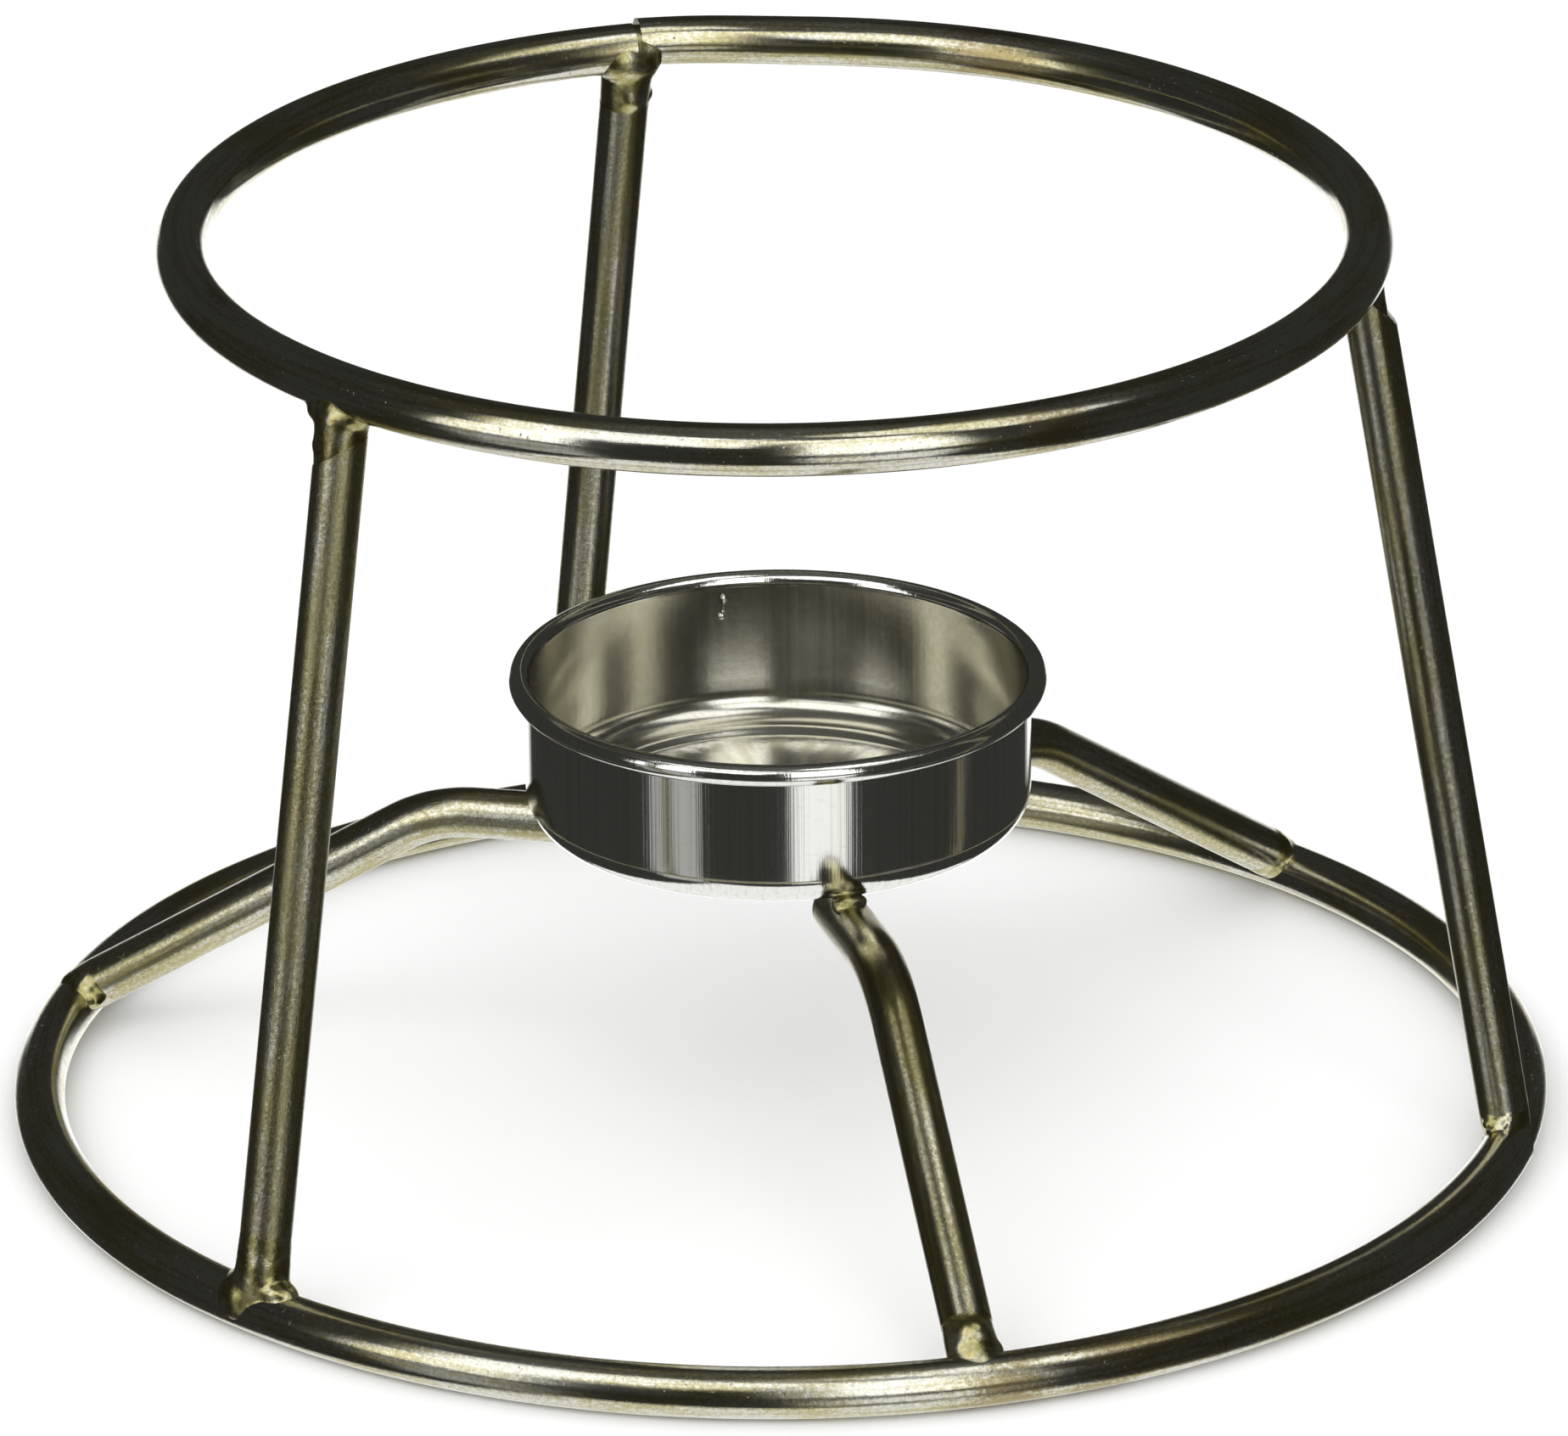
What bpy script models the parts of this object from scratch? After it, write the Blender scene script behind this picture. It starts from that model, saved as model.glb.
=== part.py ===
"""A warmer stand of welded round wire: two rings, three legs, three bent arms and a drawn fuel cup.

The origin is the middle of the base ring on the surface it stands on. +Z is up and the front is -Y.
"""

import math

import bmesh
import bpy
from mathutils import Matrix, Vector

MM = 0.001

# Driving dimensions.
WIRE = 4.0 * MM
HEIGHT = 75.0 * MM
BASE_RADIUS = 59.0 * MM  # to the middle of the wire
TOP_RADIUS = 46.0 * MM  # to the middle of the wire
GAP = 0.35 * MM  # air left between pieces that the welds join

# Legs: the angle of the top end and of the foot, in degrees from +X. The stand is jigged by hand,
# so no leg is quite in a radial plane.
LEGS = {
    "leg_back": (104.7, 107.8),
    "leg_left": (225.5, 227.3),
    "leg_right": (348.9, 346.0),
}

# Arms: the angle under the cup and at the foot, in degrees, then the distance of the bend from
# the inner end and its height.
ARMS = {
    "arm_front": (287.7, 284.5, 13.1 * MM, 23.3 * MM),
    "arm_left": (165.3, 164.6, 11.6 * MM, 21.7 * MM),
    "arm_right": (46.9, 45.3, 11.5 * MM, 22.5 * MM),
}
ARM_INNER_RADIUS = 17.2 * MM
ARM_SEAT_HEIGHT = 22.1 * MM
ARM_FOOT_RADIUS = 57.15 * MM
ARM_FOOT_HEIGHT = 3.75 * MM
ARM_BEND_RADIUS = 13.0 * MM

# The cup.
CUP_RADIUS = 19.95 * MM  # outside of the wall
CUP_BOTTOM = 24.6 * MM  # underside of the rim of the floor
CUP_SHEET = 0.4 * MM
CUP_CORNER = 1.6 * MM
PANEL_RADIUS = 16.2 * MM
PANEL_DROP = 0.5 * MM
BEAD_RADIUS = 0.85 * MM
BEAD_HEIGHT = 36.2 * MM

# The collar of weld round a wire's end: heights run out from the middle of the ring it meets.
COLLAR_SKIRT = 1.3 * MM
COLLAR_TIP = 4.5 * MM
COLLAR_FILLET = [
    (3.25 * MM, COLLAR_SKIRT),
    (3.2 * MM, 2.3 * MM),
    (2.85 * MM, 3.3 * MM),
    (2.65 * MM, COLLAR_TIP),
]
RING_CLEARANCE = 0.45 * MM  # air between a collar and the ring under it

# The dab of weld between the cup and each arm: half its depth, width and height, and its middle,
# measured out from the cup's wall and up from the top of the arm.
CUP_WELD_SIZE = (1.7 * MM, 2.1 * MM, 1.6 * MM)
CUP_WELD_OFFSET = 0.6 * MM
CUP_WELD_RISE = 1.0 * MM
CUTTER_REACH = 6.0 * MM  # how far the cup weld's cutters run past it

# The two rings are closed over a leg, so that one weld holds all three wire ends.
TOP_SEAM = 104.0
BASE_SEAM = 345.2
SEAM_GAP = 1.1 * MM

# How fine the facets are.
SIDES = 12
RING_STEPS = 70
BEND_STEPS = 6
CUP_STEPS = 44
WELD_STEPS = 16

# The wire's section has twelve sides and is this thick over its flats, one of which faces down.
SECTION_RADIUS = WIRE / 2 / math.cos(math.pi / SIDES)
TOP_HEIGHT = HEIGHT - WIRE / 2
BASE_HEIGHT = WIRE / 2


def clear_scene():
    for obj in list(bpy.data.objects):
        bpy.data.objects.remove(obj, do_unlink=True)


def polar(radius, degrees, height):
    turn = math.radians(degrees)
    return Vector((radius * math.cos(turn), radius * math.sin(turn), height))


def metal(name, color, roughness):
    material = bpy.data.materials.new(name)
    material.use_nodes = True
    shader = material.node_tree.nodes["Principled BSDF"]
    shader.inputs["Base Color"].default_value = (*color, 1.0)
    shader.inputs["Metallic"].default_value = 1.0
    shader.inputs["Roughness"].default_value = roughness
    return material


def add_object(name, bm, material, sharp=math.radians(40)):
    """A mesh object on the stand's empty, facing out and shaded smooth except at real corners."""
    bmesh.ops.recalc_face_normals(bm, faces=bm.faces)
    mesh = bpy.data.meshes.new(name)
    bm.to_mesh(mesh)
    bm.free()
    mesh.shade_smooth()
    mesh.set_sharp_from_angle(angle=sharp)
    mesh.materials.append(material)
    obj = bpy.data.objects.new(name, mesh)
    obj.parent = STAND
    bpy.context.scene.collection.objects.link(obj)
    return obj


def make_cutter(obj):
    obj.hide_render = True
    obj.display_type = "WIRE"
    return obj


def cut(obj, *cutters):
    for cutter in cutters:
        boolean = obj.modifiers.new("clear of " + cutter.name, "BOOLEAN")
        boolean.operation = "DIFFERENCE"
        boolean.solver = "EXACT"
        boolean.object = cutter


def first(kind, items):
    return next(item for item in items if isinstance(item, kind))


def wire_section(bm, centre, along, radius=SECTION_RADIUS):
    """A filled section of wire, square to the way it runs, with one flat facing down."""
    place = Matrix.Translation(centre) @ along.to_track_quat("Z", "Y").to_matrix().to_4x4()
    place = place @ Matrix.Rotation(math.pi / SIDES, 4, "Z")
    made = bmesh.ops.create_circle(bm, cap_ends=True, segments=SIDES, radius=radius, matrix=place)
    return made["verts"][0].link_faces[0]


def drop_inner_face(bm, face, was_inner):
    """Removes the section that a wire was drawn on from, unless it is the wire's first end."""
    if was_inner and face.is_valid:
        bmesh.ops.delete(bm, geom=[face], context="FACES_ONLY")


def push(bm, face, step):
    """Draws the wire on in a straight line and gives its new end."""
    was_inner = any(len(edge.link_faces) > 1 for edge in face.edges)
    made = bmesh.ops.extrude_face_region(bm, geom=[face])["geom"]
    bmesh.ops.translate(bm, verts=[v for v in made if isinstance(v, bmesh.types.BMVert)], vec=step)
    drop_inner_face(bm, face, was_inner)
    return first(bmesh.types.BMFace, made)


def swing(bm, face, centre, axis, angle, steps):
    """Draws the wire on round a bend and gives its new end."""
    was_inner = any(len(edge.link_faces) > 1 for edge in face.edges)
    made = bmesh.ops.spin(bm, geom=[face], cent=centre, axis=axis, angle=angle, steps=steps)
    drop_inner_face(bm, face, was_inner)
    return first(bmesh.types.BMFace, made["geom_last"])


def lathe(profile, steps):
    """A solid turned about Z from a closed profile of (radius, height) points."""
    bm = bmesh.new()
    points = [bm.verts.new((radius, 0, height)) for radius, height in profile]
    pairs = zip(points, points[1:] + points[:1])
    on_axis = [p for p in points if abs(p.co.x) < 1e-9]
    edges = [bm.edges.new(pair) for pair in pairs if not set(pair) <= set(on_axis)]
    turned = points + edges
    turn = 2 * math.pi
    bmesh.ops.spin(bm, geom=turned, cent=(0, 0, 0), axis=(0, 0, 1), angle=turn, steps=steps, use_merge=True)
    bmesh.ops.remove_doubles(bm, verts=bm.verts, dist=1e-7)
    return bm


def arc(centre, radius, start, end, steps):
    """Points on an arc of a profile, from one angle to another in degrees."""
    angles = [math.radians(start + (end - start) * i / steps) for i in range(steps + 1)]
    return [(centre[0] + radius * math.cos(a), centre[1] + radius * math.sin(a)) for a in angles]


def bent_ring(name, radius, height, seam):
    """A ring bent from one length of wire, its two ends facing each other across the seam."""
    opening = SEAM_GAP / radius
    start = math.radians(seam) + opening / 2
    bm = bmesh.new()
    along = Vector((-math.sin(start), math.cos(start), 0))
    end = wire_section(bm, polar(radius, math.degrees(start), height), along)
    swing(bm, end, (0, 0, height), (0, 0, 1), 2 * math.pi - opening, RING_STEPS)
    return add_object(name, bm, WIRE_METAL)


def seam_weld(name, radius, height, seam):
    """The plug of weld metal between a ring's two ends."""
    thick = SEAM_GAP - 2 * GAP
    turn = math.radians(seam)
    along = Vector((-math.sin(turn), math.cos(turn), 0))
    bm = bmesh.new()
    face = wire_section(bm, polar(radius, seam, height) - along * thick / 2, along)
    push(bm, face, along * thick)
    return add_object(name, bm, WELD_METAL)


def ring_clearance(name, radius, height):
    """The room that the welds leave round a ring."""
    last = 360 * (1 - 1 / SIDES)
    profile = arc((radius, height), SECTION_RADIUS + RING_CLEARANCE, 0, last, SIDES - 1)
    return make_cutter(add_object(name, lathe(profile, RING_STEPS), WELD_METAL))


def collar_weld(name, centre, along, clearance):
    """A fillet of weld metal round a wire's end, hollowed where it meets the ring."""
    bore = SECTION_RADIUS + GAP
    profile = [(bore, COLLAR_SKIRT), *COLLAR_FILLET, (bore, COLLAR_TIP)]
    obj = add_object(name, lathe(profile, WELD_STEPS), WELD_METAL)
    obj.matrix_world = Matrix.Translation(centre) @ along.to_track_quat("Z", "Y").to_matrix().to_4x4()
    cut(obj, clearance)
    return obj


def straight_leg(name, top_angle, foot_angle):
    """A leg cut from straight wire, from the middle of the top ring to the middle of the base ring."""
    top = polar(TOP_RADIUS, top_angle, TOP_HEIGHT)
    foot = polar(BASE_RADIUS, foot_angle, BASE_HEIGHT)
    along = (foot - top).normalized()
    inset = along * (SECTION_RADIUS + GAP)
    bm = bmesh.new()
    push(bm, wire_section(bm, top + inset, along), foot - top - 2 * inset)
    add_object(name, bm, WIRE_METAL)
    collar_weld(name + "_top_weld", top, along, TOP_CLEARANCE)
    collar_weld(name + "_foot_weld", foot, -along, BASE_CLEARANCE)


def arm_clearance(name, start, along):
    """The room that a cup weld leaves round the flat end of its arm."""
    reach = CUP_RADIUS - ARM_INNER_RADIUS + CUTTER_REACH
    bm = bmesh.new()
    push(bm, wire_section(bm, start, along, SECTION_RADIUS + GAP), along * reach)
    return make_cutter(add_object(name, bm, WELD_METAL))


def cup_weld(name, seat, along, clearance):
    """The dab of weld metal in the corner between the cup's wall and its arm."""
    reach = CUP_RADIUS + CUP_WELD_OFFSET - ARM_INNER_RADIUS
    middle = seat + along * reach + Vector((0, 0, WIRE / 2 + CUP_WELD_RISE))
    bm = bmesh.new()
    bmesh.ops.create_uvsphere(bm, u_segments=14, v_segments=8, radius=1)
    bmesh.ops.scale(bm, verts=bm.verts, vec=CUP_WELD_SIZE)
    obj = add_object(name, bm, WELD_METAL)
    turn = Matrix.Rotation(math.atan2(along.y, along.x), 4, "Z")
    obj.matrix_world = Matrix.Translation(middle) @ turn
    cut(obj, clearance, CUP_CLEARANCE)
    return obj


def bent_arm(name, cup_angle, foot_angle, bend_distance, bend_height):
    """An arm bent once: a level stretch under the edge of the cup, then a slope to the base ring."""
    seat = polar(ARM_INNER_RADIUS, cup_angle, ARM_SEAT_HEIGHT)
    foot = polar(ARM_FOOT_RADIUS, foot_angle, ARM_FOOT_HEIGHT)
    plan = Vector((foot.x - seat.x, foot.y - seat.y, 0)).normalized()
    corner = Vector((seat.x, seat.y, 0)) + plan * bend_distance
    corner.z = bend_height
    level = (corner - seat).normalized()
    slope = (foot - corner).normalized()
    angle = level.angle(slope)
    cut_back = ARM_BEND_RADIUS * math.tan(angle / 2)
    across = level.cross(slope).normalized()
    centre = corner - level * cut_back + across.cross(level) * ARM_BEND_RADIUS
    bm = bmesh.new()
    end = wire_section(bm, seat, level)
    end = push(bm, end, corner - level * cut_back - seat)
    end = swing(bm, end, centre, across, angle, BEND_STEPS)
    push(bm, end, foot - corner - slope * cut_back)
    add_object(name, bm, WIRE_METAL)
    nearest = foot + slope * (polar(BASE_RADIUS, foot_angle, BASE_HEIGHT) - foot).dot(slope)
    collar_weld(name + "_foot_weld", nearest, -slope, BASE_CLEARANCE)
    clearance = arm_clearance(name + "_clearance", seat, level)
    cup_weld(name + "_cup_weld", seat, level, clearance)


def drawn_cup(name):
    """The cup: a sunk floor panel, a round corner, a straight wall and a bead rolled outwards."""
    inside = CUP_RADIUS - CUP_SHEET
    corner = (CUP_RADIUS - CUP_CORNER, CUP_BOTTOM + CUP_CORNER)
    bead = (inside + BEAD_RADIUS, BEAD_HEIGHT)
    wall_meets_bead = -180 + math.degrees(math.acos((bead[0] - CUP_RADIUS) / BEAD_RADIUS))
    profile = [
        (0, CUP_BOTTOM - PANEL_DROP),
        (PANEL_RADIUS, CUP_BOTTOM - PANEL_DROP),
        (PANEL_RADIUS + PANEL_DROP, CUP_BOTTOM),
        *arc(corner, CUP_CORNER, -90, 0, 5),
        *arc(bead, BEAD_RADIUS, wall_meets_bead, 180, 10),
        *arc(corner, CUP_CORNER - CUP_SHEET, 0, -90, 4),
        (PANEL_RADIUS + PANEL_DROP / 2, CUP_BOTTOM + CUP_SHEET),
        (PANEL_RADIUS - PANEL_DROP / 2, CUP_BOTTOM - PANEL_DROP + CUP_SHEET),
        (0, CUP_BOTTOM - PANEL_DROP + CUP_SHEET),
    ]
    return add_object(name, lathe(profile, CUP_STEPS), CUP_METAL)


def cup_clearance(name):
    """The room that the cup welds leave round the cup."""
    corner = (CUP_RADIUS - CUP_CORNER, CUP_BOTTOM + CUP_CORNER)
    bottom = CUP_BOTTOM - GAP
    top = CUP_BOTTOM + CUTTER_REACH
    profile = [(0, bottom), *arc(corner, CUP_CORNER + GAP, -90, 0, 5), (CUP_RADIUS + GAP, top), (0, top)]
    return make_cutter(add_object(name, lathe(profile, CUP_STEPS), WELD_METAL))


clear_scene()
STAND = bpy.data.objects.new("stand", None)
bpy.context.scene.collection.objects.link(STAND)

WIRE_METAL = metal("nickel_wire", (0.62, 0.6, 0.53), 0.28)
CUP_METAL = metal("polished_cup", (0.78, 0.78, 0.76), 0.14)
WELD_METAL = metal("weld_metal", (0.42, 0.38, 0.26), 0.42)

bent_ring("top_ring", TOP_RADIUS, TOP_HEIGHT, TOP_SEAM)
seam_weld("top_ring_seam_weld", TOP_RADIUS, TOP_HEIGHT, TOP_SEAM)
bent_ring("base_ring", BASE_RADIUS, BASE_HEIGHT, BASE_SEAM)
seam_weld("base_ring_seam_weld", BASE_RADIUS, BASE_HEIGHT, BASE_SEAM)

TOP_CLEARANCE = ring_clearance("top_ring_clearance", TOP_RADIUS, TOP_HEIGHT)
BASE_CLEARANCE = ring_clearance("base_ring_clearance", BASE_RADIUS, BASE_HEIGHT)
for leg, angles in LEGS.items():
    straight_leg(leg, *angles)

drawn_cup("fuel_cup")
CUP_CLEARANCE = cup_clearance("fuel_cup_clearance")
for arm, shape in ARMS.items():
    bent_arm(arm, *shape)
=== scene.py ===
"""A warmer stand of welded nickel-plated wire with a drawn fuel cup, finished round its CAD frame.

Lengths are in metres, +Z is up and the front is -Y.
"""

import math

import bmesh
import bpy
import numpy as np
from mathutils import Matrix, Vector


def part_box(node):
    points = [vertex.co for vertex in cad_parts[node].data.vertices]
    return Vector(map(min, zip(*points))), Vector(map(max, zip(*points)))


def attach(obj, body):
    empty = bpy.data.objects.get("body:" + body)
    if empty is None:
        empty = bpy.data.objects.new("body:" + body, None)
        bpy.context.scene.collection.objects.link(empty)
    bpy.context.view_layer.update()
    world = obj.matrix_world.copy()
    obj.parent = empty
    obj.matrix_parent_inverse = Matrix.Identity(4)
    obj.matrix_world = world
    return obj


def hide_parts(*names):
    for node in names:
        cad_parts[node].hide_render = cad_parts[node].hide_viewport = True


MM = 0.001

# The camera: how far off, how high and where it aims.
CAMERA_DISTANCE = 0.9724
CAMERA_ELEVATION = math.radians(24.145)
CAMERA_AIM = 32.61 * MM
CAMERA_ROLL = -0.0072
CAMERA_YAW = -0.00053
CAMERA_LENS = 279.6

# Fineness of the finished pieces.
WIRE_SIDES = 48
RING_STEPS = 360
BEND_STEPS = 24
CUP_SIDES = 192
WIRE_SPACING = 0.5 * MM  # between the edge loops along a wire
SMOOTH_UNDER = math.radians(50)
SEAM_REACH = 14.0 * MM  # how far round a ring its misfit end is sprung
SUNK = 1.6 * MM  # how far a wire's end runs on into the wire that it is welded to
BEND_RADIUS = 13.0 * MM
ARM_LIFT = 0.2 * MM  # what the arms rise by to touch the cup
ARM_TUCK = 3.2 * MM  # how much further the arms run on under the cup
WELD_VOXEL = 0.13 * MM
WELD_WAVES = 1.5 * MM  # the spacing of a weld's unevenness
WELD_UNEVEN = 0.05 * MM  # and its height
FLOOR_SIZE = 12.0
ROOM_RADIUS = 4.0
# Each ring's seam: its opening, and how far out and up the ring's last end is sprung, in mm.
RING_SEAMS = {"top_ring": (0.45, 0.35, 0.35), "base_ring": (0.3, 0.2, 0.1)}

# The cup, inside its CAD box.
CUP_SHEET = 0.4 * MM
CUP_CORNER = 2.4 * MM
BEAD_RADIUS = 0.85 * MM
PANEL_DROP = 0.5 * MM
WALL_LINES = (0.18, 0.2, 0.3, 0.5, 0.7, 0.9, 0.97, 0.985)  # edge loops up the cup's wall, as shares of it
# The cup's floor from the wall to the middle: (radius in mm, share of the drop into the panel on the way).
FLOOR_STEPS = [
    (17.1, 0), (17.0, 0), (16.9, 0.04), (16.75, 0.18), (16.55, 0.28), (16.35, 0.28), (16.2, 0.18),
    (16.1, 0.04), (15.9, 0), (15.0, 0), (12.0, 0), (8.0, 0), (4.0, 0), (1.5, 0),
]


# ---------------------------------------------------------------- measures from the frame


def unique_points(node):
    """A CAD node's own points, each once."""
    points = np.array([v.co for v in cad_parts[node].data.vertices])
    return np.unique(np.round(points, 7), axis=0)


def ring_of(node):
    """(radius to the middle of the wire, height of the middle) of a ring."""
    low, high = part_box(node)
    points = unique_points(node)
    return float(np.hypot(points[:, 0], points[:, 1]).mean()), (low.z + high.z) / 2


def seam_of(ring):
    """The angle of a ring's seam, in degrees."""
    return angle_of(sum(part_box(ring + "_seam_weld"), Vector()))


def cup_wall():
    """The radius of the cup's wall, outside."""
    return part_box("fuel_cup")[1].x - 2 * BEAD_RADIUS + CUP_SHEET


def end_of(node, key):
    """(middle, direction) of the end of a wire whose section has the smallest key."""
    points = unique_points(node)
    section = points[np.argsort(key(points))[:12]]
    middle = section.mean(axis=0)
    across = np.linalg.svd(section - middle)[2][2]
    outward = np.sign(np.dot(middle - points.mean(axis=0), across))
    return Vector(middle), Vector(across * outward)


def top_end(points):
    return -points[:, 2]


def bottom_end(points):
    return points[:, 2]


def inner_end(points):
    return np.hypot(points[:, 0], points[:, 1])


def outer_end(points):
    return -np.hypot(points[:, 0], points[:, 1])


def on_ring(radius, degrees, height):
    turn = math.radians(degrees)
    return Vector((radius * math.cos(turn), radius * math.sin(turn), height))


def angle_of(point):
    return math.degrees(math.atan2(point.y, point.x))


# ---------------------------------------------------------------- working by hand


def at_bench(name):
    """Names the object that was just added and gives it, in edit mode, with all of it selected."""
    obj = bpy.context.object
    obj.name = obj.data.name = name
    bpy.ops.object.transform_apply(location=True, rotation=True, scale=True)
    bpy.ops.object.mode_set(mode="EDIT")
    return obj


def clear_bench():
    if bpy.context.object and bpy.context.object.mode == "EDIT":
        bpy.ops.object.mode_set(mode="OBJECT")
    bpy.ops.object.select_all(action="DESELECT")


def pick(obj, test):
    """Selects the points that pass a test of their place, with the edges and faces between them."""
    bpy.ops.mesh.select_all(action="DESELECT")
    bm = bmesh.from_edit_mesh(obj.data)
    for v in bm.verts:
        v.select_set(test(v.co))
    bm.select_flush(True)
    bmesh.update_edit_mesh(obj.data)


def turned(direction):
    """The Euler angles that stand a primitive's Z along a direction."""
    return direction.to_track_quat("Z", "Y").to_euler()


def modify(obj, kind, **settings):
    """Adds a modifier and applies it."""
    modifier = obj.modifiers.new(kind.lower(), kind)
    for setting, value in settings.items():
        setattr(modifier, setting, value)
    bpy.context.view_layer.objects.active = obj
    bpy.ops.object.modifier_apply(modifier=modifier.name)


def run_on(step, cuts):
    """Draws the selected end of a wire on in a straight line, in short lengths."""
    for _ in range(cuts):
        bpy.ops.mesh.extrude_region_move(TRANSFORM_OT_translate={"value": step / cuts})


def swing(centre, axis, angle, steps):
    """Draws the selected end of a wire on round a bend. The operator counts angles the other way."""
    bpy.ops.mesh.spin(steps=steps, angle=-angle, center=centre, axis=axis)


def nudge(obj, place, step, reach):
    """Pushes the surface nearest a place, and what lies within reach of it along the surface, by a step."""
    bpy.ops.mesh.select_all(action="DESELECT")
    bm = bmesh.from_edit_mesh(obj.data)
    nearest = min(bm.verts, key=lambda v: (v.co - place).length)
    nearest.select_set(True)
    bmesh.update_edit_mesh(obj.data)
    bpy.ops.transform.translate(
        value=step,
        use_proportional_edit=True,
        use_proportional_connected=True,
        proportional_edit_falloff="SMOOTH",
        proportional_size=reach,
    )


def saw(place, normal):
    """Saws a wire off square to a direction, drops what lies that way and closes the end."""
    bpy.ops.mesh.select_all(action="SELECT")
    bpy.ops.mesh.bisect(plane_co=place, plane_no=normal, use_fill=True, clear_outer=True)


def finish_piece(obj, finish, nodes):
    """Smooth, facing out, in its finish, riding on the stand and standing for its CAD nodes."""
    if obj.mode != "EDIT":
        bpy.context.view_layer.objects.active = obj
        bpy.ops.object.mode_set(mode="EDIT")
    bpy.ops.mesh.select_all(action="SELECT")
    bpy.ops.mesh.normals_make_consistent(inside=False)
    bpy.ops.object.mode_set(mode="OBJECT")
    bpy.ops.object.select_all(action="DESELECT")
    obj.select_set(True)
    bpy.ops.object.shade_smooth_by_angle(angle=SMOOTH_UNDER)
    obj.data.materials.clear()
    obj.data.materials.append(finish)
    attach(obj, "root")
    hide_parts(*nodes)
    return obj


def keep_along(obj, along):
    """Stores where each point lies on its wire, in mm: the length along it, then two places across it."""
    values = np.array([along(v.co) for v in obj.data.vertices], np.float32) / MM
    layer = obj.data.attributes.new("along", "FLOAT_VECTOR", "POINT")
    layer.data.foreach_set("vector", values.ravel())


def keep_near(obj, name, places, reach):
    """Stores how near each point is to the nearest of some places, from 1 there to 0 past the reach."""
    points = np.array([v.co for v in obj.data.vertices])
    distances = [np.linalg.norm(points - np.array(place), axis=1) for place in places]
    nearest = np.min(distances, axis=0)
    layer = obj.data.attributes.new(name, "FLOAT", "POINT")
    layer.data.foreach_set("value", np.exp(-((nearest / reach) ** 2)).astype(np.float32))


def keep_marks(obj):
    """Stores where a wire was heated by its welds and where it is tarnished."""
    keep_near(obj, "heat", WELDS, HEAT_REACH)
    keep_near(obj, "tarnish", TARNISHED, TARNISH_REACH)


# ---------------------------------------------------------------- finishes


class Signal:
    """A value that varies over a surface. Python's operators add its Math nodes."""

    def __init__(self, finish, socket):
        self.finish = finish
        self.socket = socket

    def maths(self, operation, *values):
        return self.finish.add("Math", {"operation": operation}, dict(enumerate(values)))

    def __add__(self, other):
        return self.maths("ADD", self, other)

    def __sub__(self, other):
        return self.maths("SUBTRACT", self, other)

    def __rsub__(self, other):
        return self.maths("SUBTRACT", other, self)

    def __mul__(self, other):
        return self.maths("MULTIPLY", self, other)

    __radd__ = __add__
    __rmul__ = __mul__


class Finish:
    """A metal finish: a material's node tree, written as expressions."""

    def __init__(self, name):
        self.material = bpy.data.materials.new(name)
        self.material.use_nodes = True
        self.tree = self.material.node_tree
        self.shader = self.tree.nodes["Principled BSDF"]

    def feed(self, socket, value):
        if isinstance(value, Signal):
            self.tree.links.new(value.socket, socket)
        else:
            socket.default_value = value

    def add(self, kind, settings, sockets, out=0):
        """A node of one type, with its settings and then its sockets. Gives one of its outputs."""
        node = self.tree.nodes.new("ShaderNode" + kind)
        for setting, value in settings.items():
            setattr(node, setting, value)
        for name, value in sockets.items():
            self.feed(node.inputs[name], value)
        return Signal(self, node.outputs[out])

    def attribute(self, name, out):
        return self.add("Attribute", {"attribute_name": name}, {}, out)

    def place(self):
        """Object coordinates in mm."""
        coordinates = self.add("TexCoord", {}, {}, "Object")
        return self.scaled(coordinates, (1 / MM, 1 / MM, 1 / MM))

    def scaled(self, vector, factors):
        return self.add("VectorMath", {"operation": "MULTIPLY"}, {0: vector, 1: factors})

    def noise(self, vector, scale, detail=4.0, roughness=0.55):
        sockets = {"Vector": vector, "Scale": scale, "Detail": detail, "Roughness": roughness}
        return self.add("TexNoise", {}, sockets, "Fac")

    def step(self, value, low, high):
        """0 below low, 1 above high and smooth between them."""
        sockets = {"Value": value, "From Min": low, "From Max": high}
        return self.add("MapRange", {"interpolation_type": "SMOOTHSTEP"}, sockets)

    def blend(self, share, first, second):
        """From the first colour at share 0 to the second at share 1."""
        return self.add("Mix", {"data_type": "RGBA"}, {0: share, 6: first, 7: second}, 2)

    def relief(self, height, distance, under=None):
        """A bump of that height, in metres, on top of another."""
        sockets = {"Height": height, "Distance": distance}
        if under is not None:
            sockets["Normal"] = under
        return self.add("Bump", {}, sockets)

    def done(self, color, roughness, normal):
        self.feed(self.shader.inputs["Base Color"], color)
        self.feed(self.shader.inputs["Roughness"], roughness)
        self.feed(self.shader.inputs["Metallic"], 1.0)
        self.feed(self.shader.inputs["Normal"], normal)
        return self.material


NICKEL = (0.66, 0.65, 0.58, 1)
STRAW = (0.48, 0.44, 0.23, 1)
OLIVE = (0.30, 0.27, 0.11, 1)
RUST = (0.26, 0.19, 0.08, 1)
SOOT = (0.07, 0.065, 0.045, 1)
BRIGHT = (0.76, 0.76, 0.73, 1)
DULL = (0.60, 0.58, 0.48, 1)


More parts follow.
